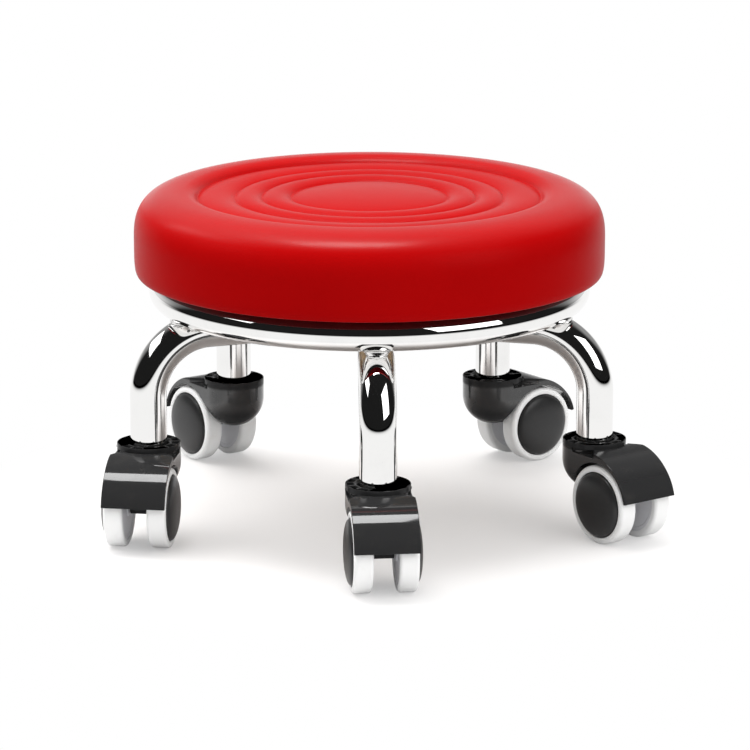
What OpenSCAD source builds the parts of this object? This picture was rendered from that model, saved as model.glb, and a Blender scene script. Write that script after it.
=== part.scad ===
// Low rolling stool: a round ribbed cushion on five bent tube legs with twin-wheel casters.
// The origin is on the floor under the middle of the seat. +Z is up and the front leg is at -Y.

/* [Seat] */
// Diameter of the cushion at its widest
seat_d = 298; // [290:1:320]
// Height of the rim's crest above the support ring
seat_h = 52.25; // [48:0.05:66]
// Height of the widest place above the support ring
seat_wide_h = 22.55; // [18:0.05:28]
// How far the underside's edge lies inside the widest place
seat_base_inset = 4.5; // [3:0.5:8]
// Squareness of the upper shoulder, where 2 is an ellipse
shoulder_n = 2.7; // [2:0.1:4]
// Squareness of the lower edge, where 2 is an ellipse
edge_n = 4.6; // [2:0.1:6]
// How far the rim's crest lies inside the widest place
rim_crest_inset = 31; // [26:0.5:34]
// Width of the rim's inner slope, from the crest to the first groove
rim_slope_w = 9.3; // [8:0.1:14]
// Width of the outer padded ring
pad_1_w = 23.9; // [20:0.1:27]
// Width of the middle padded ring
pad_2_w = 16.9; // [14:0.1:20]
// Width of the inner padded ring
pad_3_w = 18.2; // [14:0.1:20]
// Depth of the grooves below the rim's crest
groove_drop = 5.2; // [3:0.1:8]
// Height of the padded rings above the grooves
pad_rise = 2.6; // [1:0.1:4]
// Height of the middle dome above its groove
dome_rise = 3.9; // [1:0.1:6]
// Thickness of the vinyl cover
cover_t = 1.2; // [0.8:0.1:2]
// Distance from the circle of screws out to the hem's edge
hem_clear = 8; // [8:0.5:11]
// Gap between foam and what encloses it
foam_gap = 0.1; // [0.05:0.05:0.3]

/* [Seat board] */
// How far the plywood board's edge lies inside the underside's edge
board_inset = 6; // [3:0.5:8]
// Thickness of the board
board_t = 12; // [10:0.5:18]
// Diameter of a screw's thread
screw_d = 6; // [5:0.5:6.5]
// Length of a screw under its head
screw_len = 16; // [12:0.5:17]
// Diameter of a screw's head
screw_head_d = 12; // [10:0.5:13]
// Height of a screw's head
screw_head_h = 3.6; // [3:0.1:5]
// Diameter of a washer
washer_d = 14; // [13:0.5:18]
// Thickness of a washer
washer_t = 1.2; // [0.8:0.1:2]
// Distance from the support ring's centre line in to the screws
screw_inset = 21.5; // [20:0.5:24]
// Diameter of a tee nut's flange
tee_flange_d = 18; // [15:0.5:22]
// Thickness of a tee nut's flange
tee_flange_t = 1.5; // [1:0.1:2]
// Diameter of a tee nut's barrel
tee_barrel_d = 8; // [7.5:0.1:10]
// Length of a tee nut's barrel
tee_barrel_len = 8; // [5:0.5:8.5]
// Number of staples between two lugs
staples_per_side = 4; // [2:1:5]
// Width of a staple's crown
staple_w = 10; // [8:0.5:12]
// Thickness of a staple's wire
staple_wire = 0.9; // [0.6:0.1:1.2]
// Length of a staple's legs
staple_len = 7; // [5:0.5:10]

/* [Frame] */
// How far the support ring's centre line lies inside the cushion's underside edge
ring_inset = 15.25; // [13:0.25:18]
// Diameter of the support ring's tube
ring_tube_d = 21.5; // [16:0.5:22]
// Wall of the support ring's tube
ring_wall = 1.2; // [1:0.1:2]
// Height of the support ring's centre line above the floor
ring_z = 148.3; // [147.5:0.1:160]
// Diameter of a leg's tube
leg_d = 23; // [20:0.5:24]
// Wall of a leg's tube
leg_wall = 1.5; // [1.2:0.1:2]
// Distance from the support ring's centre line out to the legs' lower ends
leg_out = 18.25; // [16:0.25:21]
// Radius of a leg's bend at its centre line
leg_bend_r = 40; // [32:0.5:44]
// Height of a leg's level run above the floor
leg_z = 129.5; // [126:0.5:130]
// Height of a leg's lower end above the floor
leg_end_z = 53; // [52:0.5:56]
// Diameter of the hub
hub_d = 50; // [48:0.5:60]
// Wall of the hub
hub_wall = 3; // [2:0.1:5]
// Height of the hub above and below the legs
hub_edge = 5; // [2:0.5:8]
// Reach of a weld round the touch of leg and ring
weld_reach = 5; // [4:0.5:6]
// Width of a seat lug
lug_w = 24; // [18:0.5:30]
// Thickness of a seat lug
lug_t = 3; // [2.5:0.1:4]
// Distance from a lug's hole to its free end
lug_end = 9; // [8:0.5:14]

/* [Caster stem] */
// Diameter of the stem
stem_d = 11; // [9:0.1:11]
// Length of the stem inside the leg
stem_up = 24; // [20:0.5:30]
// Height of the stem's lower end above the floor
stem_low_z = 30.5; // [30:0.5:34]
// Diameter of the stem's flange
flange_d = 22; // [21:0.5:23]
// Thickness of the stem's flange
flange_t = 1.5; // [1:0.1:2.5]
// Length of the socket inside the leg
socket_len = 27; // [25:0.5:36]
// Width of the grip ring
grip_w = 2; // [1.5:0.1:3]
// Depth of the grip ring's groove
grip_depth = 0.8; // [0.5:0.1:1]
// Distance from the stem's top to the grip ring
grip_from_top = 4; // [3:0.5:6]
// How far the grip ring stands out of the stem
grip_proud = 0.25; // [0.1:0.05:0.3]
// Radial gap between stem and socket
socket_gap = 0.3; // [0.3:0.05:0.4]
// Radial gap between stem and hood
stem_fit = 0.05; // [0.02:0.01:0.1]
// Gap under the stem's flange
thrust_gap = 0.3; // [0.2:0.05:0.5]

/* [Caster hood] */
// How far the hood's sides reach past the tyres' outer faces
hood_side_reach = 0.25; // [0:0.05:1]
// Height of the hood's collar above the floor
hood_top_z = 60; // [59:0.5:62]
// Height of the shoulder above the floor
shoulder_z = 57.5; // [57:0.5:59]
// Height at which the belly starts to round under
belly_z = 47; // [46.5:0.5:49]
// Gap between the leg and the collar
collar_gap = 1; // [0.6:0.1:1.5]
// Width of the bevel inside the collar's lip
lip_bevel = 1.2; // [0.5:0.1:2]
// Height of the rim over the collar's groove
collar_rim_h = 3.4; // [3:0.1:4]
// Height of the collar's groove
collar_groove_h = 2.4; // [1:0.1:3]
// Depth of the collar's groove
collar_groove_depth = 1.8; // [0.5:0.1:2.5]
// Angle from the trailing side to the groove's near end
groove_from = 40; // [24:1:50]
// Angle from the trailing side to the groove's far end
groove_to = 84; // [70:1:110]
// Width of the groove between the collar and the fender's top
moat_w = 1.2; // [0.8:0.1:1.6]
// Depth of the groove between the collar and the fender's top
moat_depth = 1.5; // [1:0.1:2]
// Number of pockets in the collar's top
pocket_count = 14; // [10:1:16]
// Width of the ribs between the pockets
pocket_rib = 1.8; // [1.2:0.1:2.6]
// Depth of the pockets
pocket_depth = 1.8; // [1:0.1:2.2]
// Width of the edge between the pockets and the collar's outer side
pocket_edge = 1; // [0.8:0.1:1.5]
// Width of the edge between the pockets and the collar's bevel
pocket_inner_edge = 1.1; // [0.8:0.1:1.5]
// Thickness of the fender over the wheels
fender_t = 2; // [1.6:0.1:3]
// Angle above the axle at which the fender ends
fender_tip_a = 12.5; // [5:0.5:30]
// Thickness of the web between the wheels
web_t = 13; // [12.5:0.1:13.5]
// Wall of the boss round the axle
boss_wall = 1.5; // [1.2:0.1:2.5]

/* [Wheels] */
// Distance from the swivel axis to the axle
trail = 27; // [26.5:0.1:29]
// Diameter of a wheel
wheel_d = 50; // [48:0.5:50]
// Gap between a wheel and the hood round it
wheel_gap = 2; // [1.5:0.1:3]
// Distance between the two tyres' inner faces
tyre_space = 15.5; // [15:0.1:18]
// Width of a tyre
tyre_w = 12; // [11:0.5:13]
// Thickness of a tyre
tyre_t = 4; // [3:0.1:6]
// Radius of a tyre's shoulders
tyre_round = 2.2; // [1:0.1:3]
// Depth of the core's faces inside the tyre's sides
core_inset = 0.5; // [0.3:0.1:1]
// Depth of the cap's seat inside the tyre's side
cap_inset = 1.75; // [1:0.05:3]
// How far a cap bulges out of the tyre's side
cap_bulge = 3.8; // [2:0.1:5]
// Squareness of a cap's dome, where 2 is an ellipse
cap_n = 2.2; // [2:0.1:3]
// Thickness of a cap
cap_t = 1.6; // [1:0.1:2.5]
// Diameter of an axle
axle_d = 6; // [5:0.5:6]
// Radial gap between axle and core
axle_fit = 0.05; // [0.02:0.01:0.1]
// Side play between a core's boss and the hood
wheel_play = 0.7; // [0.4:0.1:0.9]
// Thickness of a core's disc and rim
core_wall = 2.6; // [2:0.1:4]
// Radial gap between a wheel's pressed parts
press_gap = 0.05; // [0.02:0.01:0.1]

/* [Hidden] */
leg_count = 5;
leg_turn = 360 / leg_count;
places = ["front", "right", "rear_right", "rear_left", "left"];
place_a = [for (k = [0:leg_count - 1]) -90 + k * leg_turn];
// Way each caster trails while the stool stands still
trail_a = [-86, -56, 35.5, 122.5, -100];
sides = ["l", "r"];

frame_nodes = ["support_ring", "hub", "ring_welds", "seat_lugs", "stem_sockets", "caster_stems",
  "grip_rings", "seat_board", "seat_foam", "seat_cover", "seat_screws", "screw_washers",
  "tee_nuts", "cover_staples"];
wheel_parts = ["tyre", "core", "cap"];

$fn = 96;
eps = 0.01;
overlap = 1;

seat_z = ring_z + ring_tube_d / 2;
seat_r = seat_d / 2;
base_r = seat_r - seat_base_inset;
crest_r = seat_r - rim_crest_inset;
ring_r = base_r - ring_inset;
screw_circle_r = ring_r - screw_inset;
leg_circle_r = ring_r + leg_out;
hem_r = screw_circle_r + hem_clear;
groove_h = seat_h - groove_drop;
groove_1_r = crest_r - rim_slope_w;
groove_2_r = groove_1_r - pad_1_w;
groove_3_r = groove_2_r - pad_2_w;
groove_4_r = groove_3_r - pad_3_w;
groove_r = [groove_1_r, groove_2_r, groove_3_r, groove_4_r];
board_r = base_r - board_inset;
board_z = seat_z + cover_t;
board_top = board_z + board_t;

lug_z = seat_z - lug_t;
lug_in_r = screw_circle_r - lug_end;
// A lug ends inside the ring's inner side, which trims it to fit
lug_drop = lug_z - ring_z;
lug_out_r = ring_r - sqrt(pow(ring_tube_d / 2, 2) - lug_drop * lug_drop) + lug_t / 2;
hole_gap = 0.25;
thread_gap = 0.05;
nut_gap = 0.1;
head_z = lug_z - washer_t;
staple_r = hem_r + staple_wire * 2;
staple_clear_a = asin((lug_w / 2 + staple_w / 2 + 2) / staple_r);
staple_step = (leg_turn - 2 * staple_clear_a) / (staples_per_side - 1);

leg_r = leg_d / 2;
leg_bore_r = leg_r - leg_wall;
hub_r = hub_d / 2;
hub_low_z = leg_z - leg_r - hub_edge;
hub_h = leg_d + 2 * hub_edge;

stem_r = stem_d / 2;
stem_top_z = leg_end_z + stem_up;
flange_z = leg_end_z - flange_t;
grip_z = stem_top_z - grip_from_top - grip_w;
socket_bore_r = stem_r + socket_gap;

hood_w = tyre_space + 2 * (tyre_w + hood_side_reach);
hood_r = hood_w / 2;
recess_r = leg_r + collar_gap;
recess_z = flange_z - thrust_gap;
hood_bore_r = stem_r + stem_fit;
stem_end_gap = 0.5;
wheel_r = wheel_d / 2;
axle_z = wheel_r;
well_r = wheel_r + wheel_gap;
fender_r = well_r + fender_t;
crown_dx = trail - hood_r;
crown_dz = shoulder_z - axle_z;
// The crown's arc leaves the shoulder level and runs smoothly into the fender's arc
crown_r = (crown_dx * crown_dx + crown_dz * crown_dz - fender_r * fender_r)
  / (2 * (crown_dz - fender_r));
crown_a = atan2(crown_r - crown_dz, crown_dx);
pocket_in_r = recess_r + lip_bevel + pocket_inner_edge;
pocket_out_r = hood_r - pocket_edge;
pocket_turn = 360 / pocket_count;
boss_r = axle_d / 2 + boss_wall;
web_low_z = belly_z - hood_r;

tyre_in_y = tyre_space / 2;
tyre_out_y = tyre_in_y + tyre_w;
tyre_bore_r = wheel_r - tyre_t;
core_r = tyre_bore_r - press_gap;
core_in_y = tyre_in_y + core_inset;
cap_seat_y = tyre_out_y - cap_inset;
cap_r = core_r - press_gap;
core_boss_y = web_t / 2 + wheel_play;
core_boss_r = axle_d;
axle_half = cap_seat_y - core_inset;

chrome = [0.86, 0.87, 0.88];
zinc = [0.70, 0.71, 0.73];
red_vinyl = [0.80, 0.04, 0.05];
black_plastic = [0.07, 0.07, 0.08];
white_rubber = [0.95, 0.95, 0.95];
grey_nylon = [0.62, 0.63, 0.66];
plywood = [0.80, 0.65, 0.44];
foam_yellow = [0.94, 0.88, 0.66];

// Points of a superellipse's arc, from the direction a0 to a1, without the first of them
function bulge(c, rx, ry, n, a0, a1, steps) = [
  for (k = [1:steps])
    let (a = a0 + (a1 - a0) * k / steps)
    [c[0] + rx * pow(abs(cos(a)), 2 / n) * sign(cos(a)),
     c[1] + ry * pow(abs(sin(a)), 2 / n) * sign(sin(a))]
];

// Points of a circle's arc
function arc(c, r, a0, a1, steps) = [
  for (k = [0:steps])
    let (a = a0 + (a1 - a0) * k / steps)
    [c[0] + r * cos(a), c[1] + r * sin(a)]
];

// The point at the distance r and the angle a from c
function around(c, r, a) = [c[0] + r * cos(a), c[1] + r * sin(a)];

// Cross-section of the cushion's skin, from the lower edge over the top to the axis
function skin(inset) = concat(
  [[base_r, inset]],
  bulge([base_r, seat_wide_h], seat_r - base_r - inset, seat_wide_h - inset, edge_n, -90, 0, 9),
  bulge([crest_r, seat_wide_h], seat_r - crest_r - inset, seat_h - seat_wide_h - inset,
    shoulder_n, 0, 90, 12),
  bulge([crest_r, groove_h - inset], crest_r - groove_1_r, groove_drop, 2, 90, 180, 5),
  [for (k = [0:2]) each bulge([(groove_r[k] + groove_r[k + 1]) / 2, groove_h - inset],
    (groove_r[k] - groove_r[k + 1]) / 2, pad_rise, 2, 0, 180, 9)],
  bulge([0, groove_h - inset], groove_4_r, dome_rise, 2, 0, 90, 8)
);

function reversed(list) = [for (k = [len(list) - 1:-1:0]) list[k]];

module at_leg(k) {
  rotate([0, 0, place_a[k]]) translate([leg_circle_r, 0, 0]) children();
}

module at_caster(k) {
  rotate([0, 0, place_a[k]]) translate([leg_circle_r, 0, 0])
    rotate([0, 0, trail_a[k] - place_a[k]]) children();
}

module at_wheel(k, side) {
  at_caster(k) translate([trail, 0, axle_z])
    rotate([side == "l" ? -90 : 90, 0, 0]) children();
}

module each_leg() {
  for (k = [0:leg_count - 1]) at_leg(k) children();
}

module each_lug() {
  for (k = [0:leg_count - 1]) rotate([0, 0, place_a[k] + leg_turn / 2]) children();
}

module tube_ring(r) {
  translate([0, 0, ring_z]) rotate_extrude() translate([ring_r, 0]) circle(r);
}

module support_ring() {
  color(chrome) difference() {
    tube_ring(ring_tube_d / 2);
    tube_ring(ring_tube_d / 2 - ring_wall);
  }
}

// A leg's run, bend and drop at a given radius, in the frame of the leg's foot
module leg_path(r) {
  translate([-leg_circle_r, 0, leg_z]) rotate([0, 90, 0])
    cylinder(h = leg_circle_r - leg_bend_r, r = r);
  translate([-leg_bend_r, 0, leg_z - leg_bend_r]) rotate([90, 0, 0])
    rotate_extrude(angle = 90) translate([leg_bend_r, 0]) circle(r);
  translate([0, 0, leg_end_z]) cylinder(h = leg_z - leg_bend_r - leg_end_z, r = r);
}

module leg(k) {
  color(chrome) difference() {
    at_leg(k) difference() {
      leg_path(leg_r);
      leg_path(leg_bore_r);
      translate([0, 0, leg_end_z - overlap]) cylinder(h = 2 * overlap, r = leg_bore_r);
    }
    translate([0, 0, hub_low_z - overlap]) cylinder(h = hub_h + 2 * overlap, r = hub_r);
  }
}

module hub() {
  color(chrome) translate([0, 0, hub_low_z]) difference() {
    cylinder(h = hub_h, r = hub_r);
    translate([0, 0, hub_wall]) cylinder(h = hub_h, r = hub_r - hub_wall);
  }
}

// Metal run into the narrow space where a leg passes under the ring
module ring_welds() {
  color(chrome) each_leg() difference() {
    intersection() {
      translate([-leg_circle_r, 0, 0]) tube_ring(ring_tube_d / 2 + weld_reach);
      leg_path(leg_r + weld_reach);
      translate([ring_r - leg_circle_r, 0, leg_z]) cylinder(h = ring_z - leg_z, r = leg_r);
    }
    translate([-leg_circle_r, 0, 0]) tube_ring(ring_tube_d / 2);
    leg_path(leg_r);
  }
}

module seat_lugs() {
  color(chrome) difference() {
    each_lug() difference() {
      translate([lug_in_r, -lug_w / 2, lug_z]) cube([lug_out_r - lug_in_r, lug_w, lug_t]);
      translate([screw_circle_r, 0, lug_z - overlap])
        cylinder(h = lug_t + 2 * overlap, r = screw_d / 2 + hole_gap);
    }
    tube_ring(ring_tube_d / 2);
  }
}

module stem_sockets() {
  color(zinc) each_leg() translate([0, 0, leg_end_z]) difference() {
    cylinder(h = socket_len, r = leg_bore_r - press_gap);
    translate([0, 0, -overlap]) cylinder(h = socket_len + 2 * overlap, r = socket_bore_r);
  }
}

module caster_stems() {
  color(zinc) each_leg() difference() {
    union() {
      translate([0, 0, stem_low_z]) cylinder(h = stem_top_z - stem_low_z, r = stem_r);
      translate([0, 0, flange_z]) cylinder(h = flange_t, r = flange_d / 2);
    }
    translate([0, 0, grip_z]) difference() {
      cylinder(h = grip_w, r = stem_r + overlap);
      cylinder(h = grip_w, r = stem_r - grip_depth);
    }
  }
}

module grip_rings() {
  color(zinc) each_leg() translate([0, 0, grip_z + press_gap]) difference() {
    cylinder(h = grip_w - 2 * press_gap, r = stem_r + grip_proud);
    translate([0, 0, -overlap]) cylinder(h = grip_w + overlap, r = stem_r - grip_depth + press_gap);
    translate([0, -grip_w / 2, -overlap]) cube([stem_d, grip_w, grip_w + 2 * overlap]);
  }
}

module staple_legs(gap) {
  each_staple() for (side = [-1, 1])
    translate([-staple_wire / 2 - gap, side * (staple_w - staple_wire) / 2 - staple_wire / 2 - gap,
      seat_z - overlap])
      cube([staple_wire + 2 * gap, staple_wire + 2 * gap, staple_len + overlap]);
}

module each_staple() {
  for (k = [0:leg_count - 1]) for (m = [0:staples_per_side - 1])
    rotate([0, 0, place_a[k] + leg_turn / 2 + staple_clear_a + m * staple_step])
      translate([staple_r, 0, 0]) children();
}

module cover_staples() {
  color(zinc) {
    each_staple() {
      translate([-staple_wire / 2, -staple_w / 2, seat_z - staple_wire])
        cube([staple_wire, staple_w, staple_wire]);
      for (side = [-1, 1])
        translate([-staple_wire / 2, side * (staple_w - staple_wire) / 2 - staple_wire / 2, seat_z])
          cube([staple_wire, staple_wire, staple_len]);
    }
  }
}

module seat_board() {
  color(plywood) difference() {
    translate([0, 0, board_z]) cylinder(h = board_t, r = board_r);
    each_lug() translate([screw_circle_r, 0, 0]) {
      translate([0, 0, board_z - overlap])
        cylinder(h = board_t + 2 * overlap, r = tee_barrel_d / 2 + nut_gap);
      translate([0, 0, board_top - tee_flange_t])
        cylinder(h = tee_flange_t + overlap, r = tee_flange_d / 2 + nut_gap);
    }
    staple_legs(thread_gap);
  }
}

module seat_foam() {
  color(foam_yellow) translate([0, 0, seat_z]) rotate_extrude() polygon(concat(
    [[0, cover_t + board_t], [board_r + foam_gap, cover_t + board_t],
     [board_r + foam_gap, cover_t + foam_gap]],
    skin(cover_t + foam_gap)
  ));
}

module seat_cover() {
  color(red_vinyl) difference() {
    translate([0, 0, seat_z]) rotate_extrude() polygon(concat(
      [[hem_r, 0]], skin(0), reversed(skin(cover_t)), [[hem_r, cover_t]]
    ));
    staple_legs(thread_gap);
  }
}

module seat_screws() {
  color(zinc) each_lug() translate([screw_circle_r, 0, head_z]) {
    cylinder(h = screw_len, r = screw_d / 2);
    translate([0, 0, -screw_head_h]) difference() {
      cylinder(h = screw_head_h, r = screw_head_d / 2);
      translate([0, 0, -overlap]) cylinder(h = screw_head_h / 2 + overlap, r = screw_d / 3, $fn = 6);
    }
  }
}

module screw_washers() {
  color(zinc) each_lug() translate([screw_circle_r, 0, head_z]) difference() {
    cylinder(h = washer_t, r = washer_d / 2);
    translate([0, 0, -overlap]) cylinder(h = washer_t + 2 * overlap, r = screw_d / 2 + hole_gap);
  }
}

module tee_nuts() {
  color(zinc) each_lug() translate([screw_circle_r, 0, board_top]) difference() {
    union() {
      translate([0, 0, -tee_flange_t]) cylinder(h = tee_flange_t, r = tee_flange_d / 2);
      translate([0, 0, -tee_flange_t - tee_barrel_len])
        cylinder(h = tee_barrel_len + eps, r = tee_barrel_d / 2);
    }
    translate([0, 0, -tee_flange_t - tee_barrel_len - overlap])
      cylinder(h = tee_flange_t + tee_barrel_len + 2 * overlap, r = screw_d / 2 + thread_gap);
  }
}

// Outline of the hood seen from the side, from the swivel axis to the fender's tip
module hood_side() {
  c = [trail, axle_z];
  difference() {
    union() {
      polygon([[0, web_low_z], [0, shoulder_z], [hood_r, shoulder_z], [trail, web_low_z]]);
      intersection() {
        translate([hood_r, shoulder_z - crown_r]) circle(crown_r);
        polygon([[hood_r, web_low_z], [hood_r, axle_z + hood_w],
          around(c, 2 * hood_w, crown_a), c, [trail, web_low_z]]);
      }
      intersection() {
        translate(c) circle(fender_r);
        polygon([c, around(c, hood_w, fender_tip_a), around(c, 2 * hood_w, crown_a)]);
      }
    }
    intersection() {
      translate(c) circle(well_r);
      translate([trail, 0]) square([hood_w, hood_top_z]);
    }
  }
}

module across(w) {
  translate([0, w / 2, 0]) rotate([90, 0, 0]) linear_extrude(w) children();
}

// Half of the bowl that closes the hood on the side away from the wheels
module belly() {
  intersection() {
    translate([0, 0, belly_z]) union() {
      sphere(r = hood_r);
      cylinder(h = shoulder_z - belly_z, r = hood_r);
    }
    translate([-hood_w, -hood_w, 0]) cube([hood_w, 2 * hood_w, shoulder_z]);
  }
}

// The hood from the swivel axis to the fender, with lower corners that follow the belly's bowl
module hood_body() {
  difference() {
    across(hood_w) hood_side();
    difference() {
      translate([-overlap, -hood_r - overlap, web_low_z - overlap])
        cube([trail, hood_w + 2 * overlap, hood_r + overlap]);
      translate([-2 * overlap, 0, belly_z]) rotate([0, 90, 0])
        cylinder(h = trail + 2 * overlap, r = hood_r);
    }
  }
}

// Space for one wheel, on the given side of the web
module wheel_well(side) {
  translate([trail, side * (web_t + hood_w) / 2, axle_z]) rotate([90, 0, 0])
    cylinder(h = hood_w, r = well_r, center = true);
}

// Groove under the collar's rim and the step outside it, on the given side
module collar_groove(side) {
  step_h = collar_rim_h + collar_groove_h;
  rotate([0, 0, side > 0 ? groove_from : -groove_to]) translate([0, 0, hood_top_z - step_h])
    rotate_extrude(angle = groove_to - groove_from) polygon([
      [hood_r - collar_groove_depth, 0], [2 * hood_r, 0], [2 * hood_r, step_h + overlap],
      [hood_r, step_h + overlap], [hood_r, collar_groove_h],
      [hood_r - collar_groove_depth, collar_groove_h]
    ]);
}

// Groove between the collar and the fender's top
module collar_moat() {
  spare_a = 4;
  rotate([0, 0, -groove_from - spare_a]) translate([0, 0, shoulder_z - moat_depth])
    rotate_extrude(angle = 2 * (groove_from + spare_a))
      translate([hood_r, 0]) square([moat_w, moat_depth + overlap]);
}

// Half the width of a pocket at the distance r from the swivel axis
function pocket_half(r) = r * tan(pocket_turn / 2) - pocket_rib / 2;

// Pockets round the collar's top, with a rib over the wheels
module collar_pockets() {
  for (k = [0:pocket_count - 1]) rotate([0, 0, (k + 0.5) * pocket_turn])
    translate([0, 0, hood_top_z - pocket_depth]) linear_extrude(pocket_depth + overlap) polygon([
      [pocket_in_r, -pocket_half(pocket_in_r)], [pocket_out_r, -pocket_half(pocket_out_r)],
      [pocket_out_r, pocket_half(pocket_out_r)], [pocket_in_r, pocket_half(pocket_in_r)]
    ]);
}

module hood(k) {
  color(black_plastic) at_caster(k) difference() {
    union() {
      belly();
      hood_body();
      translate([0, 0, shoulder_z]) cylinder(h = hood_top_z - shoulder_z, r = hood_r);
      translate([trail, web_t / 2, axle_z]) rotate([90, 0, 0]) cylinder(h = web_t, r = boss_r);
    }
    for (side = [-1, 1]) {
      wheel_well(side);
      collar_groove(side);
    }
    collar_moat();
    collar_pockets();
    translate([0, 0, recess_z]) cylinder(h = hood_top_z - recess_z + overlap, r = recess_r);
    translate([0, 0, hood_top_z - lip_bevel])
      cylinder(h = lip_bevel + eps, r1 = recess_r, r2 = recess_r + lip_bevel);
    translate([0, 0, stem_low_z - stem_end_gap])
      cylinder(h = recess_z - stem_low_z + stem_end_gap + overlap, r = hood_bore_r);
    translate([trail, web_t, axle_z]) rotate([90, 0, 0])
      cylinder(h = 2 * web_t, r = axle_d / 2 + press_gap);
  }
}

module axle(k) {
  color(zinc) at_caster(k) translate([trail, axle_half, axle_z]) rotate([90, 0, 0])
    cylinder(h = 2 * axle_half, r = axle_d / 2);
}

module tyre(k, side) {
  color(white_rubber) at_wheel(k, side) rotate_extrude() polygon(concat(
    [[tyre_bore_r, tyre_in_y]],
    arc([wheel_r - tyre_round, tyre_in_y + tyre_round], tyre_round, -90, 0, 6),
    arc([wheel_r - tyre_round, tyre_out_y - tyre_round], tyre_round, 0, 90, 6),
    [[tyre_bore_r, tyre_out_y]]
  ));
}

module core(k, side) {
  bore_r = axle_d / 2 + axle_fit;
  color(grey_nylon) at_wheel(k, side) rotate_extrude() polygon([
    [bore_r, core_boss_y], [core_boss_r, core_boss_y], [core_boss_r, core_in_y],
    [core_r, core_in_y], [core_r, cap_seat_y], [core_r - core_wall, cap_seat_y],
    [core_r - core_wall, core_in_y + core_wall], [core_boss_r, core_in_y + core_wall],
    [core_boss_r, axle_half], [bore_r, axle_half]
  ]);
}

// Points of a cap's domed face, from its edge to the axis
function dome(r, rise, y) = concat([[r, y]], bulge([0, y], r, rise, cap_n, 0, 90, 12));

module cap(k, side) {
  skirt_in_r = core_r - core_wall;
  color(black_plastic) at_wheel(k, side) rotate_extrude() polygon(concat(
    [[skirt_in_r, cap_seat_y], [cap_r, cap_seat_y]],
    dome(cap_r, cap_bulge, tyre_out_y),
    reversed(dome(skirt_in_r, cap_bulge - cap_t, tyre_out_y))
  ));
}

support_ring();
hub();
ring_welds();
seat_lugs();
stem_sockets();
caster_stems();
grip_rings();
seat_board();
seat_foam();
seat_cover();
seat_screws();
screw_washers();
tee_nuts();
cover_staples();
for (k = [0:leg_count - 1]) {
  p = places[k];
  leg(k);
  hood(k);
  axle(k);
  for (s = sides) {
    tyre(k, s);
    core(k, s);
    cap(k, s);
  }
}
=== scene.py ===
import math

import bmesh
import bpy
from mathutils import Matrix, Vector


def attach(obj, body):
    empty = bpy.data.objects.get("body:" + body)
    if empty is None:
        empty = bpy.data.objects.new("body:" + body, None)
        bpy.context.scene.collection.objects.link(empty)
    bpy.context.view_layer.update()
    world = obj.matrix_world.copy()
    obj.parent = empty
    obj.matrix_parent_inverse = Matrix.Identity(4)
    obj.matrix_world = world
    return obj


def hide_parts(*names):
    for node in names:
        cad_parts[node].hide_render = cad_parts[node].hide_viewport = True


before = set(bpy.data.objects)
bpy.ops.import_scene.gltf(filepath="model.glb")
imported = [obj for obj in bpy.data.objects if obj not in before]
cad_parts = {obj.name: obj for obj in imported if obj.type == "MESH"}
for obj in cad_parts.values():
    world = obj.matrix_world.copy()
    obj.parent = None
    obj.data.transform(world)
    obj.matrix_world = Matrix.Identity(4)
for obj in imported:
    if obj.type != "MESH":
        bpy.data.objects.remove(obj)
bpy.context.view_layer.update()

MM = 0.001
UP = Vector((0, 0, 1))

# Sizes of the part's source, in metres. Heights called _H are from the seat's underside, SEAT_Z.
SEAT_Z = 159.05 * MM
SEAT_R = 149 * MM
BASE_R = 144.5 * MM
CREST_R = 118 * MM
HEM_R = 115.75 * MM
BOARD_R = 138.6 * MM
BOARD_LOW = 160.25 * MM
BOARD_TOP = 172.25 * MM
WIDE_H = 22.55 * MM
SEAT_H = 52.25 * MM
GROOVE_H = 47.05 * MM
GROOVES = (108.7 * MM, 84.8 * MM, 67.9 * MM, 49.7 * MM)
PAD_RISE = 2.6 * MM
DOME_RISE = 3.9 * MM
RING_R = 129.25 * MM
RING_Z = 148.3 * MM
RING_TUBE_R = 10.75 * MM
LEG_CIRCLE_R = 147.5 * MM
LEG_R = 11.5 * MM
LEG_WALL = 1.5 * MM
LEG_BEND_R = 40 * MM
LEG_Z = 129.5 * MM
LEG_END_Z = 53 * MM
HUB_R = 25 * MM
TRAIL = 27 * MM
WHEEL_R = 25 * MM
TYRE_BORE_R = 21 * MM
TYRE_IN = 7.75 * MM
TYRE_OUT = 19.75 * MM
CORE_BORE_R = 3.05 * MM
CORE_BOSS_R = 6 * MM
CORE_CUP_R = 18.35 * MM
CORE_EDGE = 18 * MM

# The casters' places, from the front anticlockwise, and the directions in which they trail at rest
PLACES = ("front", "right", "rear_right", "rear_left", "left")
PLACE_ANGLES = tuple(math.radians(-90 + 72 * k) for k in range(5))
TRAIL_ANGLES = tuple(math.radians(a) for a in (-86, -56, 35.5, 122.5, -100))


class Value:
    """A node's output in a finish. Arithmetic on one that is a number adds Math nodes."""

    def __init__(self, finish, socket):
        self.finish, self.socket = finish, socket

    def math(self, operation, *values):
        return self.finish.node("Math", {"operation": operation}, dict(enumerate(values)))

    def __add__(self, other):
        return self.math("ADD", self, other)

    def __sub__(self, other):
        return self.math("SUBTRACT", self, other)

    def __rsub__(self, other):
        return self.math("SUBTRACT", other, self)

    def __mul__(self, other):
        return self.math("MULTIPLY", self, other)

    def __truediv__(self, other):
        return self.math("DIVIDE", self, other)

    __radd__, __rmul__ = __add__, __mul__

    def between(self, low, high):
        """0 below low, 1 above high, and smooth between them."""
        return self.finish.node(
            "MapRange", {"interpolation_type": "SMOOTHSTEP"},
            {"Value": self, "From Min": low, "From Max": high},
        )


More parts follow.
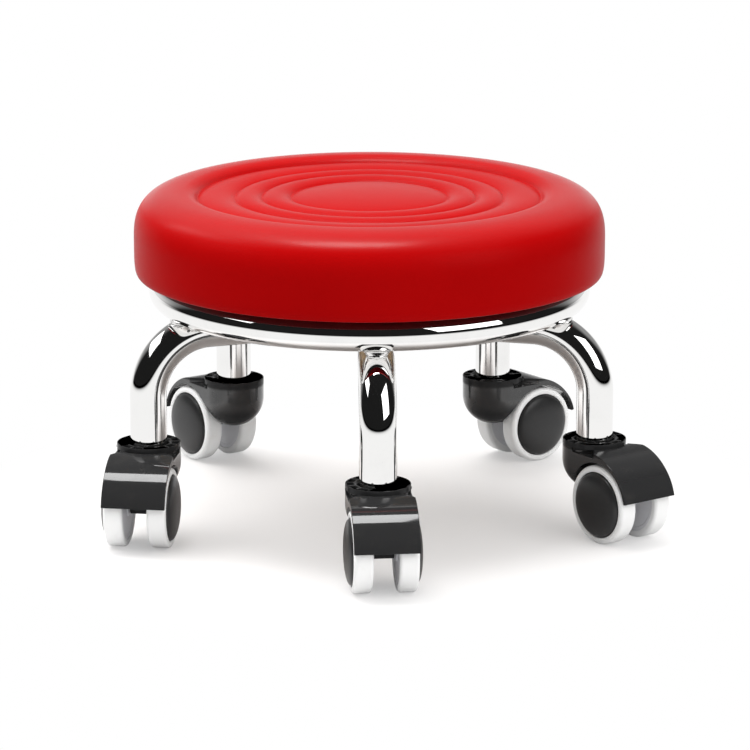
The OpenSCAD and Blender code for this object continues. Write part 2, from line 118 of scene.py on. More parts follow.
class Finish:
    """One material or world, and the nodes in it."""

    def __init__(self, name, owner=None, **constants):
        self.owner = owner or bpy.data.materials.new(name)
        self.owner.use_nodes = True
        self.tree = self.owner.node_tree
        self.shader = self.tree.nodes.get("Principled BSDF")
        self.place = None
        for socket, value in constants.items():
            self.shader.inputs[socket.replace("_", " ")].default_value = value

    def node(self, kind, settings=None, inputs=None, output=0):
        """Adds a node with its settings and its inputs, values or links, and gives one output."""
        made = self.tree.nodes.new("ShaderNode" + kind)
        for name, value in (settings or {}).items():
            setattr(made, name, value)
        for name, value in (inputs or {}).items():
            self.feed(made.inputs[name], value)
        return Value(self, made.outputs[output])

    def feed(self, socket, value):
        if isinstance(value, Value):
            self.tree.links.new(value.socket, socket)
        else:
            socket.default_value = value

    def set(self, **sockets):
        for name, value in sockets.items():
            self.feed(self.shader.inputs[name.replace("_", " ")], value)

    def where(self):
        """The place of a point on the object, in metres."""
        if self.place is None:
            self.place = self.node("TexCoord", output="Object")
        return self.place

    def parts(self, vector):
        """The X, Y and Z of a vector."""
        split = self.node("SeparateXYZ", inputs={0: vector}).socket.node
        return [Value(self, out) for out in split.outputs]

    def length(self, vector):
        return self.node("VectorMath", {"operation": "LENGTH"}, {0: vector}, output="Value")

    def stretched(self, *scale):
        """The place with each axis scaled, so that a pattern is stretched or flattened along it."""
        return self.node("Mapping", inputs={"Vector": self.where(), "Scale": scale})

    def rays(self, *kinds):
        """1 for a ray of each kind, such as Camera or Glossy, and 0 for others."""
        outputs = self.node("LightPath").socket.node.outputs
        return [Value(self, outputs[f"Is {kind} Ray"]) for kind in kinds]

    def noise(self, scale, detail=3.0, roughness=0.5, vector=None):
        return self.node("TexNoise", inputs={
            "Vector": vector or self.where(), "Scale": scale, "Detail": detail, "Roughness": roughness,
        })

    def cells(self, scale, feature="DISTANCE_TO_EDGE"):
        return self.node("TexVoronoi", {"feature": feature}, {"Vector": self.where(), "Scale": scale})

    def mixed(self, factor, first, second):
        """A colour between two, where factor goes from 0 to 1."""
        return self.node("Mix", {"data_type": "RGBA"}, {0: factor, 6: first, 7: second}, output=2)

    def bump(self, height, distance, strength):
        return self.node("Bump", inputs={"Height": height, "Distance": distance, "Strength": strength})


def grey(value):
    return (value, value, value, 1)


def vinyl_finish():
    finish = Finish("red_vinyl", Specular_IOR_Level=0.02, Coat_IOR=1.4, Coat_Roughness=0.26)
    height = finish.parts(finish.where())[2]
    # Painted shade: below the hem's edge the cover's underside is a dark maroon instead of red, standing
    # for the shade under the seat
    above_underside_shade = height.between(159.1 * MM, 159.7 * MM)
    # Painted sheen: the coat lies only on the top and is strongest on the shoulder, placing the top's and
    # shoulder's highlights; the side gets none
    top = height.between(200.5 * MM, 208.5 * MM)
    reach = finish.length(finish.stretched(1, 1, 0))
    shoulder_sheen = 0.43 + 0.57 * reach.between(104 * MM, 138 * MM)
    drift = finish.noise(9, 2)
    fine = finish.noise(160, 4)
    grain = finish.cells(1500).between(0.02, 0.35)
    colour = finish.mixed(drift.between(0.3, 0.7), (0.405, 0.0012, 0.0016, 1), (0.44, 0.0016, 0.0020, 1))
    colour = finish.mixed((1 - grain) * 0.25, colour, (0.30, 0.0008, 0.0010, 1))
    finish.set(
        # Painted shade: the dark maroon on the underside
        Base_Color=finish.mixed(above_underside_shade, (0.055, 0.0010, 0.0016, 1), colour),
        Roughness=0.27 + 0.05 * drift + 0.05 * fine,
        Coat_Weight=top * shoulder_sheen * (1 - 0.2 * fine),
        Normal=finish.bump(grain + fine * 0.6, 0.00005, 0.35),
    )
    return finish.owner


def chrome_finish():
    finish = Finish("chrome_plate", Metallic=1.0)
    smudge = finish.noise(38, 5, 0.6).between(0.42, 0.75)
    haze = finish.noise(420, 3)
    finish.set(
        Base_Color=finish.mixed(smudge, (0.895, 0.89, 0.88, 1), (0.855, 0.85, 0.84, 1)),
        Roughness=0.02 + 0.03 * smudge + 0.012 * haze,
        Normal=finish.bump(finish.noise(60, 2), 0.00002, 0.3),
    )
    return finish.owner


def weld_finish():
    finish = Finish("plated_weld", Metallic=1.0)
    ripple = finish.noise(520, 2, vector=finish.stretched(1, 1, 2.2))
    finish.set(
        Base_Color=finish.mixed(ripple, (0.88, 0.875, 0.865, 1), (0.76, 0.755, 0.745, 1)),
        Roughness=0.05 + 0.09 * ripple,
        Normal=finish.bump(ripple, 0.00035, 0.5),
    )
    return finish.owner


def zinc_finish():
    finish = Finish("zinc_plate", Metallic=1.0)
    spangle = finish.noise(260, 3)
    rub = finish.noise(1500, 2, vector=finish.stretched(1, 1, 0.08))
    finish.set(
        Base_Color=finish.mixed(spangle, (0.62, 0.63, 0.66, 1), (0.72, 0.72, 0.71, 1)),
        Roughness=0.24 + 0.14 * rub,
        Normal=finish.bump(rub, 0.00003, 0.5),
    )
    return finish.owner


def hood_finish():
    finish = Finish("polished_black_nylon", Specular_IOR_Level=0.08, Coat_Roughness=0.04, Coat_IOR=1.62)
    height = finish.parts(finish.where())[2]
    # Painted highlight: the coat lies only on a band of heights over the fender, so the overhead softbox
    # shows there as a bright strip
    strip_sheen = height.between(36 * MM, 46 * MM) * (1 - height.between(54.5 * MM, 56.5 * MM))
    peel = finish.noise(330, 2)
    dust = finish.noise(75, 6, 0.7).between(0.5, 0.8)
    finish.set(
        Base_Color=finish.mixed(dust, (0.024, 0.024, 0.0245, 1), (0.032, 0.031, 0.030, 1)),
        Roughness=0.16 + 0.12 * dust,
        Coat_Weight=strip_sheen * (1 - 0.25 * dust),
        Normal=finish.bump(peel, 0.00002, 0.3),
    )
    return finish.owner


def cap_finish():
    finish = Finish("satin_black_nylon", Specular_IOR_Level=0.4)
    texture = finish.cells(1700, "F1")
    dust = finish.noise(90, 6, 0.7).between(0.45, 0.8)
    finish.set(
        Base_Color=finish.mixed(dust, (0.020, 0.020, 0.0205, 1), (0.028, 0.027, 0.0265, 1)),
        Roughness=0.30 + 0.12 * dust,
        Normal=finish.bump(texture, 0.00004, 0.4),
    )
    return finish.owner


def tyre_finish():
    finish = Finish("white_polyurethane", Specular_IOR_Level=0.4)
    marks = finish.noise(120, 6, 0.7).between(0.55, 0.9)
    finish.set(
        Base_Color=finish.mixed(marks, (0.93, 0.93, 0.925, 1), (0.85, 0.84, 0.82, 1)),
        Roughness=0.38 + 0.15 * marks,
        Normal=finish.bump(finish.noise(900, 3), 0.00003, 0.4),
    )
    return finish.owner


def core_finish():
    finish = Finish("grey_nylon", Specular_IOR_Level=0.4)
    cloud = finish.noise(60, 4)
    finish.set(
        Base_Color=finish.mixed(cloud, (0.74, 0.74, 0.765, 1), (0.80, 0.80, 0.825, 1)),
        Roughness=0.40 + 0.1 * cloud,
        Normal=finish.bump(finish.noise(1100, 3), 0.00004, 0.5),
    )
    return finish.owner


PLY_SCALE = 208.0


def plywood_finish():
    finish = Finish("birch_plywood", Specular_IOR_Level=0.4)
    streak = finish.noise(55, 5, 0.6, vector=finish.stretched(1, 0.07, 1))
    ply = finish.node(
        "TexWave", {"wave_type": "BANDS", "bands_direction": "Z"},
        {"Vector": finish.where(), "Scale": PLY_SCALE},
    )
    tone = finish.mixed(streak.between(0.3, 0.7), (0.50, 0.34, 0.19, 1), (0.62, 0.46, 0.29, 1))
    finish.set(
        Base_Color=finish.mixed(ply.between(0.5, 0.6) * 0.35, tone, (0.36, 0.22, 0.11, 1)),
        Roughness=0.62 + 0.1 * streak,
        Normal=finish.bump(streak, 0.0002, 0.4),
    )
    return finish.owner


VINYL, CHROME, WELD, ZINC = vinyl_finish(), chrome_finish(), weld_finish(), zinc_finish()
HOOD_BLACK, CAP_BLACK = hood_finish(), cap_finish()
TYRE_WHITE, CORE_GREY, PLYWOOD = tyre_finish(), core_finish(), plywood_finish()


def coat(node, material):
    """Gives a CAD node that stays a better material."""
    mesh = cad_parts[node].data
    mesh.materials.clear()
    mesh.materials.append(material)


def dress_cad_nodes():
    for name in ("hub", "seat_lugs"):
        coat(name, CHROME)
    steel = ["stem_sockets", "caster_stems", "grip_rings", "seat_screws", "screw_washers", "tee_nuts"]
    steel += ["cover_staples"] + [place + "_axle" for place in PLACES]
    for name in steel:
        coat(name, ZINC)
    coat("seat_board", PLYWOOD)


def add_piece(name, mesh, body, material, replaced, sharp=None):
    """Links a finished mesh as a piece that rides on a body and stands for CAD nodes."""
    mesh.shade_smooth()
    if sharp:
        mesh.set_sharp_from_angle(angle=math.radians(sharp))
    mesh.materials.clear()
    mesh.materials.append(material)
    piece = bpy.data.objects.new(name, mesh)
    bpy.context.scene.collection.objects.link(piece)
    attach(piece, body)
    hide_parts(*replaced)
    return piece


def as_mesh(bm, name, doubles=1e-7):
    """Merges a bmesh's doubles, turns its faces outwards and frees it into a mesh."""
    bmesh.ops.remove_doubles(bm, verts=bm.verts, dist=doubles)
    bmesh.ops.recalc_face_normals(bm, faces=bm.faces)
    mesh = bpy.data.meshes.new(name)
    bm.to_mesh(mesh)
    bm.free()
    return mesh


def turned_body(points, steps):
    """A bmesh of a closed profile of (radius, height) points turned round the Z axis."""
    bm = bmesh.new()
    corners = [bm.verts.new((r, 0, z)) for r, z in points]
    edges = [bm.edges.new(pair) for pair in zip(corners, corners[1:])]
    edges.append(bm.edges.new((corners[-1], corners[0])))
    bmesh.ops.spin(
        bm, geom=corners + edges, cent=(0, 0, 0), axis=(0, 0, 1), angle=math.tau, steps=steps,
        use_merge=True, use_duplicate=False,
    )
    return bm


def bulge(centre, rx, rz, power, start, end, steps):
    """Points of a superellipse's arc in a profile, without the first."""
    points = []
    for k in range(1, steps + 1):
        a = math.radians(start + (end - start) * k / steps)
        c, s = math.cos(a), math.sin(a)
        points.append((
            centre[0] + rx * math.copysign(abs(c) ** (2 / power), c),
            centre[1] + rz * math.copysign(abs(s) ** (2 / power), s),
        ))
    return points


# How deep a seam pulls below the source's groove, how wide it is eased, and the step between the
# top's rings of points
SEAM_PULL = 0.9 * MM
SEAM_EASE = 0.55 * MM
EASE_STEPS = 4
TOP_STEP = 0.45 * MM

# Corners of the side below and above its widest circle: 2 is round, and more is squarer
LOW_CORNER = 4.6
HIGH_CORNER = 2.7

# Small folds that run in from the edge of the hem, underneath
FOLD_COUNT = 45
FOLD_RISE = 0.9 * MM
FOLD_REACH = 10 * MM


def padded_height(r):
    """Height of the sewn top at a radius, before its seams are eased."""
    seam = GROOVE_H - SEAM_PULL
    if r >= GROOVES[0]:
        across = min(1, (CREST_R - r) / (CREST_R - GROOVES[0]))
        return seam + (SEAT_H - seam) * math.sqrt(1 - across * across)
    for outer, inner in zip(GROOVES, GROOVES[1:]):
        if r >= inner:
            across = abs(2 * r - outer - inner) / (outer - inner)
            return seam + (PAD_RISE + SEAM_PULL) * math.sqrt(max(0, 1 - across * across))
    across = r / GROOVES[-1]
    return seam + (DOME_RISE + SEAM_PULL) * math.sqrt(max(0, 1 - across * across))


def eased_height(r):
    """Height of the sewn top, with its seams eased by a bell curve."""
    total = weight = 0
    for k in range(-3 * EASE_STEPS, 3 * EASE_STEPS + 1):
        w = math.exp(-0.5 * (k / EASE_STEPS) ** 2)
        total += w * padded_height(min(CREST_R, abs(r + k * SEAM_EASE / EASE_STEPS)))
        weight += w
    return total / weight


def cushion_profile():
    """The cover and the foam in section: hem, side, sewn top, and the board's pocket."""
    z = SEAT_Z
    wide = z + WIDE_H
    points = [(HEM_R + reach, z) for reach in (0, 3 * MM, 7 * MM, 11 * MM)]
    points.append((BASE_R, z))
    points += bulge((BASE_R, wide), SEAT_R - BASE_R, WIDE_H, LOW_CORNER, -90, 0, 16)
    points += bulge((CREST_R, wide), SEAT_R - CREST_R, SEAT_H - WIDE_H, HIGH_CORNER, 0, 90, 34)
    count = round(CREST_R / TOP_STEP)
    for k in range(count - 1, -1, -1):
        r = CREST_R * k / count
        points.append((r, z + eased_height(r)))
    points += [(0, BOARD_TOP), (BOARD_R, BOARD_TOP), (BOARD_R, BOARD_LOW), (HEM_R, BOARD_LOW)]
    return points


def make_cushion():
    bm = turned_body(cushion_profile(), 180)
    for vert in bm.verts:
        if vert.co.z < SEAT_Z + 0.1 * MM:
            angle = math.atan2(vert.co.y, vert.co.x)
            near = max(0, 1 - (vert.co.xy.length - HEM_R) / FOLD_REACH)
            fold = 0.5 + 0.5 * math.sin(FOLD_COUNT * angle + 1.6 * math.sin(7 * angle))
            vert.co.z += FOLD_RISE * near * fold
    mesh = as_mesh(bm, "seat_cushion", 1e-6)
    piece = add_piece(
        "seat_cushion", mesh, "frame", VINYL, ("seat_cover", "seat_foam"), sharp=50,
    )


def ring_bar(bm, start, angle, steps, cap_ends=False, segments=40):
    """A length of the support ring's tube, from a start angle. A whole turn meets itself."""
    made = bmesh.ops.create_circle(bm, segments=segments, radius=RING_TUBE_R, cap_ends=cap_ends)["verts"]
    bmesh.ops.rotate(bm, verts=made, cent=(0, 0, 0), matrix=Matrix.Rotation(math.pi / 2, 3, "X"))
    bmesh.ops.translate(bm, verts=made, vec=(RING_R, 0, RING_Z))
    bmesh.ops.rotate(bm, verts=made, cent=(0, 0, 0), matrix=Matrix.Rotation(start, 3, "Z"))
    edges = list({e for v in made for e in v.link_edges})
    faces = list({f for v in made for f in v.link_faces})
    bmesh.ops.spin(
        bm, geom=made + edges + faces, cent=(0, 0, 0), axis=(0, 0, 1), angle=angle, steps=steps,
        use_merge=angle == math.tau, use_duplicate=False,
    )


def make_ring():
    bm = bmesh.new()
    ring_bar(bm, 0, math.tau, 240)
    add_piece("ring_tube", as_mesh(bm, "ring_tube"), "frame", CHROME, ("support_ring",))


def leg_start(bm, x, cap_ends=False, segments=56):
    """A circle across the straight run of the leg along X, for its tube to start from."""
    loop = bmesh.ops.create_circle(bm, segments=segments, radius=LEG_R, cap_ends=cap_ends)["verts"]
    bmesh.ops.rotate(bm, verts=loop, cent=(0, 0, 0), matrix=Matrix.Rotation(math.pi / 2, 3, "Y"))
    bmesh.ops.translate(bm, verts=loop, vec=(x, 0, LEG_Z))
    return loop


# How far up the tube's wall shows inside its open lower end
LEG_LIP = 8 * MM


def leg_mesh():
    """One leg with its foot on the swivel axis, running in towards the hub along -X."""
    bm = bmesh.new()
    leg_start(bm, HUB_R - LEG_WALL - LEG_CIRCLE_R)
    edges = list(bm.edges)

    def run(edges, shift):
        """Extrudes the tube's open end by a shift, and gives its new edges."""
        out = bmesh.ops.extrude_edge_only(bm, edges=edges)["geom"]
        verts = [g for g in out if isinstance(g, bmesh.types.BMVert)]
        bmesh.ops.translate(bm, verts=verts, vec=shift)
        return [g for g in out if isinstance(g, bmesh.types.BMEdge)]

    edges = run(edges, (LEG_CIRCLE_R - LEG_BEND_R - HUB_R + LEG_WALL, 0, 0))
    verts = list({v for e in edges for v in e.verts})
    out = bmesh.ops.spin(
        bm, geom=edges + verts, cent=(-LEG_BEND_R, 0, LEG_Z - LEG_BEND_R), axis=(0, 1, 0),
        angle=math.pi / 2, steps=40, use_merge=False, use_duplicate=False,
    )["geom_last"]
    edges = [g for g in out if isinstance(g, bmesh.types.BMEdge)]
    edges = run(edges, (0, 0, LEG_END_Z - LEG_Z + LEG_BEND_R))
    edges = run(edges, (0, 0, 0))
    verts = list({v for e in edges for v in e.verts})
    shrink = (LEG_R - LEG_WALL) / LEG_R
    bmesh.ops.scale(bm, verts=verts, vec=(shrink, shrink, 1))
    run(edges, (0, 0, LEG_LIP))
    return as_mesh(bm, "leg")


def make_legs():
    mesh = leg_mesh()
    for place, angle in zip(PLACES, PLACE_ANGLES):
        own = mesh.copy()
        own.transform(Matrix.Rotation(angle, 4, "Z") @ Matrix.Translation((LEG_CIRCLE_R, 0, 0)))
        add_piece(place + "_tube", own, "frame", CHROME, (place + "_leg",), sharp=60)


# The welds are worked out of a length of ring, a length of leg and a bead between them
WELD_RING_ANGLE = 0.28
WELD_LEG_RUN = 8 * MM
WELD_LEG_TURN = math.radians(62)
WELD_BEAD = (7.5 * MM, 9 * MM, 2.6 * MM)
WELD_VOXEL = 0.5 * MM
WELD_SMOOTHING = 22

# How far the metal that is kept goes from where the tubes touch
WELD_HALF_LENGTH = 13.5 * MM
WELD_BELOW = 9 * MM
WELD_ABOVE = 7 * MM
WELD_REACH = 16 * MM


def weld_mesh():
    """The metal that flows between ring and leg, on the leg along +X."""
    bm = bmesh.new()
    ring_bar(bm, -WELD_RING_ANGLE / 2, WELD_RING_ANGLE, 24, cap_ends=True, segments=64)
    bend = Vector((LEG_CIRCLE_R - LEG_BEND_R, 0, LEG_Z - LEG_BEND_R))
    loop = leg_start(bm, bend.x - WELD_LEG_RUN, cap_ends=True, segments=72)
    face = loop[0].link_faces[0]
    grown = bmesh.ops.extrude_face_region(bm, geom=[face])["geom"]
    verts = [g for g in grown if isinstance(g, bmesh.types.BMVert)]
    bmesh.ops.translate(bm, verts=verts, vec=(WELD_LEG_RUN, 0, 0))
    bmesh.ops.spin(
        bm, geom=grown, cent=bend, axis=(0, 1, 0), angle=WELD_LEG_TURN, steps=26,
        use_merge=False, use_duplicate=False,
    )
    down = (bend - Vector((RING_R, 0, RING_Z))).normalized()
    touch = Vector((RING_R, 0, RING_Z)) + down * (RING_TUBE_R + 0.2 * MM)
    bead = bmesh.ops.create_uvsphere(bm, u_segments=32, v_segments=20, radius=1)["verts"]
    bmesh.ops.scale(bm, verts=bead, vec=WELD_BEAD)
    tilt = math.atan2(-down.x, -down.z)
    bmesh.ops.rotate(bm, verts=bead, cent=(0, 0, 0), matrix=Matrix.Rotation(tilt, 3, "Y"))
    bmesh.ops.translate(bm, verts=bead, vec=touch)
    bmesh.ops.recalc_face_normals(bm, faces=bm.faces)
    rough = bpy.data.meshes.new("weld_rough")
    bm.to_mesh(rough)
    bm.free()
    holder = bpy.data.objects.new("weld_rough", rough)
    bpy.context.scene.collection.objects.link(holder)
    remesh = holder.modifiers.new("remesh", "REMESH")
    remesh.mode, remesh.voxel_size = "VOXEL", WELD_VOXEL
    ease = holder.modifiers.new("ease", "SMOOTH")
    ease.factor, ease.iterations = 0.5, WELD_SMOOTHING
    view = bpy.context.evaluated_depsgraph_get()
    eased = bpy.data.meshes.new_from_object(holder.evaluated_get(view))
    bpy.data.objects.remove(holder)
    bpy.data.meshes.remove(rough)
    bm = bmesh.new()
    bm.from_mesh(eased)
    bpy.data.meshes.remove(eased)
    far = [
        v for v in bm.verts
        if abs(v.co.y) > WELD_HALF_LENGTH or (v.co - touch).length > WELD_REACH
        or not -WELD_ABOVE <= (v.co - touch).dot(down) <= WELD_BELOW
    ]
    bmesh.ops.delete(bm, geom=far, context="VERTS")
    return as_mesh(bm, "weld")


def make_welds():
    """The five welds as one piece, as the source has them in one node."""
    single = weld_mesh()
    bm = bmesh.new()
    for angle in PLACE_ANGLES:
        own = single.copy()
        own.transform(Matrix.Rotation(angle, 4, "Z"))
        bm.from_mesh(own)
        bpy.data.meshes.remove(own)
    mesh = bpy.data.meshes.new("weld_beads")
    bm.to_mesh(mesh)
    bm.free()
    bpy.data.meshes.remove(single)
    add_piece("weld_beads", mesh, "frame", WELD, ("ring_welds",))


# A copy of a hood loses its edges on flat faces, and the edges sharper than a corner are rounded
HOOD_FLAT = math.radians(0.6)
HOOD_CORNER = math.radians(28)
HOOD_ROUNDING = 0.35 * MM


def make_hoods():
    """Each hood's moulding, with its corners rounded as a moulded part's are."""
    for place in PLACES:
        bm = bmesh.new()
        bm.from_mesh(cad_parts[place + "_hood"].data)
        bmesh.ops.remove_doubles(bm, verts=bm.verts, dist=1e-6)
        bmesh.ops.dissolve_limit(bm, angle_limit=HOOD_FLAT, verts=bm.verts, edges=bm.edges)
        corners = [e for e in bm.edges if len(e.link_faces) == 2 and e.calc_face_angle(0) > HOOD_CORNER]
        bmesh.ops.bevel(
            bm, geom=corners, offset=HOOD_ROUNDING, offset_type="OFFSET", segments=2, profile=0.5,
            affect="EDGES", clamp_overlap=False, material=-1,
        )
        mesh = bpy.data.meshes.new(place + "_moulding")
        bm.to_mesh(mesh)
        bm.free()
        piece = add_piece(
            place + "_moulding", mesh, place + "_caster", HOOD_BLACK,
            (place + "_hood",), sharp=40,
        )
        normals = piece.modifiers.new("normals", "WEIGHTED_NORMAL")
        normals.keep_sharp = True
        normals.mode = "FACE_AREA"


# A wheel's profiles are (radius, distance from the caster's middle)
TYRE_CORNER = 2.2 * MM
CAP_DOME = 3.8 * MM
CAP_HOLLOW = 2.2 * MM
CAP_ROUNDNESS = 2.2


def tyre_points():
    """A soft tyre with round shoulders and a small chamfer beside the cap."""
    corner_r = WHEEL_R - TYRE_CORNER
    points = [(TYRE_BORE_R, TYRE_IN), (TYRE_BORE_R + 0.9 * MM, TYRE_IN), (corner_r, TYRE_IN)]
    points += bulge((corner_r, TYRE_IN + TYRE_CORNER), TYRE_CORNER, TYRE_CORNER, 2, -90, 0, 9)
    points += [(WHEEL_R, (TYRE_IN + TYRE_OUT) / 2), (WHEEL_R, TYRE_OUT - TYRE_CORNER)]
    points += bulge((corner_r, TYRE_OUT - TYRE_CORNER), TYRE_CORNER, TYRE_CORNER, 2, 0, 90, 9)
    points += [(TYRE_BORE_R + 0.5 * MM, TYRE_OUT), (TYRE_BORE_R, TYRE_OUT - 0.4 * MM)]
    return points


def core_points():
    """A grey core: boss, inner face with a shallow groove, rim, and the cup that the cap closes."""
    boss_in, boss_out, cup = 7.2 * MM, 17.5 * MM, 10.85 * MM
    face = TYRE_IN + 0.5 * MM
    rim = TYRE_BORE_R - 0.05 * MM
    return [
        (CORE_BORE_R, boss_in), (CORE_BOSS_R - 0.4 * MM, boss_in), (CORE_BOSS_R, boss_in + 0.3 * MM),
        (CORE_BOSS_R, face), (18.2 * MM, face + 0.5 * MM), (18.6 * MM, face + 0.1 * MM), (19 * MM, face),
        (rim - 0.4 * MM, face), (rim, face + 0.3 * MM), (rim, CORE_EDGE), (CORE_CUP_R, CORE_EDGE),
        (CORE_CUP_R, cup), (CORE_BOSS_R, cup), (CORE_BOSS_R, boss_out), (CORE_BORE_R, boss_out),
    ]


def cap_points():
    """A black cap: a rim, a step beside the tyre, a rounded edge and a dome with a hollow back."""
    rim = TYRE_BORE_R - 0.12 * MM
    step, step_in, step_out = rim - 0.6 * MM, TYRE_OUT - 1.2 * MM, TYRE_OUT - 0.45 * MM
    rounding = 0.4 * MM
    points = [(CORE_CUP_R, CORE_EDGE), (rim, CORE_EDGE), (rim, step_in), (step, step_in), (step, step_out)]
    points += bulge((step - rounding, step_out), rounding, rounding, 2, 0, 62, 5)
    edge_r, edge_y = points[-1]
    points += bulge((0, edge_y), edge_r, TYRE_OUT + CAP_DOME - edge_y, CAP_ROUNDNESS, 3, 90, 26)
    points.append((0, TYRE_OUT + CAP_HOLLOW))
    points += bulge((0, TYRE_OUT), CORE_CUP_R, CAP_HOLLOW, CAP_ROUNDNESS, 90, 0, 10)
    return points


def make_wheels():
    """Ten wheels, each a tyre, a core and a cap from three turned meshes."""
    tyre, core, cap = (
        as_mesh(turned_body(points, 96), name, 1e-6)
        for points, name in ((tyre_points(), "tyre"), (core_points(), "core"), (cap_points(), "cap"))
    )
    for place, angle, trail in zip(PLACES, PLACE_ANGLES, TRAIL_ANGLES):
        stem = Matrix.Rotation(angle, 4, "Z") @ Matrix.Translation((LEG_CIRCLE_R, 0, 0))
        caster = stem @ Matrix.Rotation(trail - angle, 4, "Z") @ Matrix.Translation((TRAIL, 0, WHEEL_R))
        for side, turn in (("l", -math.pi / 2), ("r", math.pi / 2)):
            spot = caster @ Matrix.Rotation(turn, 4, "X")
            for mesh, kind, slot, material, name in (
                (tyre, "tyre", "tyre", TYRE_WHITE, "tread"),
                (core, "core", "grey_nylon", CORE_GREY, "disc"),
                (cap, "cap", "black_plastic", CAP_BLACK, "dome"),
            ):
                own = mesh.copy()
                own.transform(spot)
                add_piece(
                    f"{place}_{name}_{side}", own, f"{place}_wheel_{side}", material,
                    (f"{place}_{kind}_{side}",), sharp=45,
                )


FLOOR_HALF = 9

# How far the floor under the stool is lifted to white for the camera
FLOOR_GLOW = 0.25

# How much light the floor gives back from under the seat, from round the casters and from far out
INNER_BOUNCE = 0.6
NEAR_BOUNCE = 0.66
FAR_BOUNCE = 0.22


def make_floor():
    """A pale floor, white to the camera and in the chrome, that keeps the stool's shadow; under the stool
    the chrome mirrors it darker, as painted shade.
    """
    bm = bmesh.new()
    bmesh.ops.create_grid(bm, x_segments=1, y_segments=1, size=FLOOR_HALF)
    mesh = bpy.data.meshes.new("floor")
    bm.to_mesh(mesh)
    bm.free()
    floor = bpy.data.objects.new("floor", mesh)
    bpy.context.scene.collection.objects.link(floor)
    finish = Finish("pale_floor", Roughness=0.9, Specular_IOR_Level=0.0)
    camera, glossy, clear, diffuse = finish.rays("Camera", "Glossy", "Transmission", "Diffuse")
    reach = finish.length(finish.where())
    bounce = finish.mixed(reach.between(0.15, 0.21), grey(INNER_BOUNCE), grey(NEAR_BOUNCE))
    bounce = finish.mixed(reach.between(0.28, 0.6), bounce, grey(FAR_BOUNCE))
    # Painted shade: to glossy rays the floor under the stool takes a darker colour, so the chrome mirrors
    # it shaded
    shaded_in_chrome = glossy * (1 - reach.between(0.08, 0.26))
    plain = finish.mixed(shaded_in_chrome, (0.86, 0.84, 0.83, 1), (0.36, 0.335, 0.325, 1))
    finish.set(Base_Color=finish.mixed(diffuse, plain, bounce))

    glow = FLOOR_GLOW * camera
    white = (camera + glossy + clear) * (glow + (1 - glow) * reach.between(0.13, 0.27))
    light = finish.node("Emission", inputs={"Color": grey(1), "Strength": 1.0})
    surface = finish.node("MixShader", inputs={
        0: white, 1: Value(finish, finish.shader.outputs[0]), 2: light,
    })

    # Painted reflection: far out in front the floor turns black to glossy rays, so the chrome mirrors a
    # dark space ahead
    ahead = 1 - (finish.parts(finish.where())[1] / reach).between(0.38, 0.78)
    painted_dark_reflection = glossy * ahead * reach.between(0.7, 2.3)
    dark = finish.node("Emission", inputs={"Color": grey(0), "Strength": 0.0})
    surface = finish.node("MixShader", inputs={0: painted_dark_reflection, 1: surface, 2: dark})
    finish.feed(finish.tree.nodes["Material Output"].inputs["Surface"], surface)
    mesh.materials.append(finish.owner)


# The studio's even light from low and high, and its brighter quarter behind, above and to the left
LOW_FILL = 0.5
HIGH_FILL = 1.0
KEY_FILL = 4.6


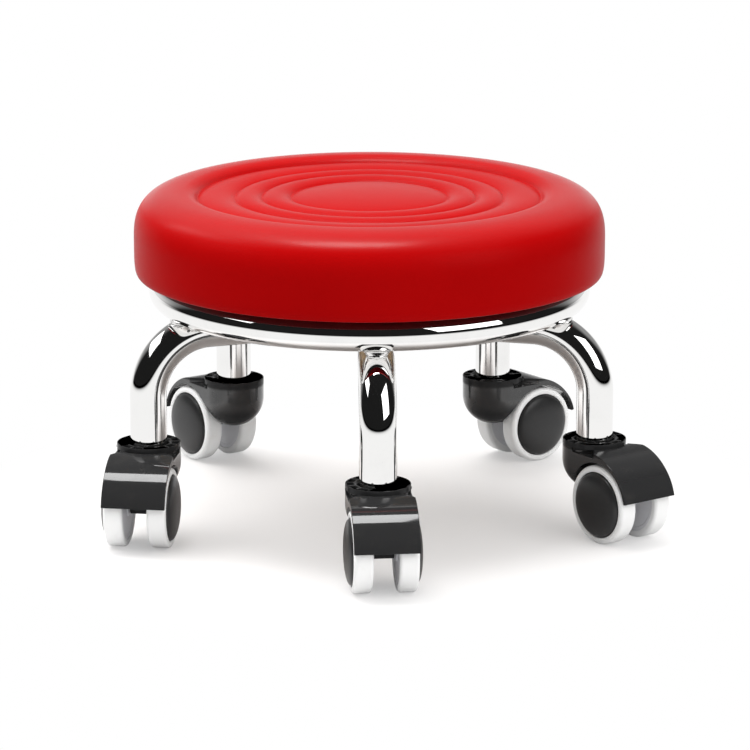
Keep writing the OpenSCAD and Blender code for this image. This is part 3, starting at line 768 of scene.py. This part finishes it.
def make_studio():
    """White to the camera, a dim wall behind the stool in its reflections, and an even fill."""
    world = bpy.data.worlds.new("studio")
    bpy.context.scene.world = world
    finish = Finish("studio", owner=world)
    camera, glossy = finish.rays("Camera", "Glossy")
    side, back, height = finish.parts(finish.node("TexCoord", output="Generated"))
    behind = (back + 0.6 * height).between(0.45, 0.85)
    low = 0.26 * (1 - height.between(0.55, 0.95)) + 0.46 * (1 - height.between(0.02, 0.28))
    seen = 0.012 + behind * (0.03 + low)
    key = height.between(0.4, 0.9) * back.between(-0.4, 0.5) * (1 - side.between(-0.4, 0.5))
    fill = LOW_FILL + HIGH_FILL * height.between(0.55, 1.0) + KEY_FILL * key
    strength = camera + (1 - camera) * (glossy * seen + (1 - glossy) * fill)
    background = finish.tree.nodes["Background"]
    background.inputs["Color"].default_value = grey(1)
    finish.feed(background.inputs["Strength"], strength)


MIDDLE = UP * 0.12


def far_point(azimuth, elevation, distance):
    """A point seen from the stool's middle at an azimuth from the front, positive to the right."""
    a, e = math.radians(azimuth), math.radians(elevation)
    return Vector((math.sin(a) * math.cos(e), -math.cos(a) * math.cos(e), math.sin(e))) * distance + MIDDLE


def add_softbox(name, place, target, size, radiance):
    """A rectangular softbox at a place, turned to a target, with a face of a given radiance."""
    light = bpy.data.lights.new(name, "AREA")
    light.shape = "RECTANGLE"
    light.size, light.size_y = size
    light.energy = radiance * math.pi * size[0] * size[1]
    lamp = bpy.data.objects.new(name, light)
    bpy.context.scene.collection.objects.link(lamp)
    lamp.location = place
    lamp.rotation_euler = (Vector(target) - Vector(place)).to_track_quat("-Z", "Y").to_euler()
    lamp.visible_camera = False


def light_stool():
    add_softbox("overhead", (-0.18, -0.2, 1.7), (-0.18, -0.2, 0), (0.8, 0.5), 8.2)
    add_softbox("right", far_point(50, 27.5, 2.2), MIDDLE, (1.46, 1.42), 2.4)
    add_softbox("left", (-0.56, 0.03, 0.535), (0, 0.03, 0.535), (0.66, 0.28), 1.9)


# The camera that was fitted to the outlines of the seat, ring, legs and wheel caps
LENS = 188.93
SENSOR = 36
CAMERA_PLACE = (-0.0851, -2.4375, 0.701)
CAMERA_DOWN = 14.057
CAMERA_RIGHT = 2.0818


def aim_camera():
    data = bpy.data.cameras.new("camera")
    data.lens = LENS
    data.sensor_width = SENSOR
    data.clip_start, data.clip_end = 0.1, 100
    camera = bpy.data.objects.new("camera", data)
    bpy.context.scene.collection.objects.link(camera)
    camera.location = CAMERA_PLACE
    camera.rotation_euler = (math.radians(90 - CAMERA_DOWN), 0, math.radians(-CAMERA_RIGHT))
    bpy.context.scene.camera = camera


aim_camera()
make_studio()
light_stool()
make_floor()
dress_cad_nodes()
make_cushion()
make_ring()
make_legs()
make_welds()
make_hoods()
make_wheels()

view = bpy.context.scene.view_settings
view.view_transform = "Standard"
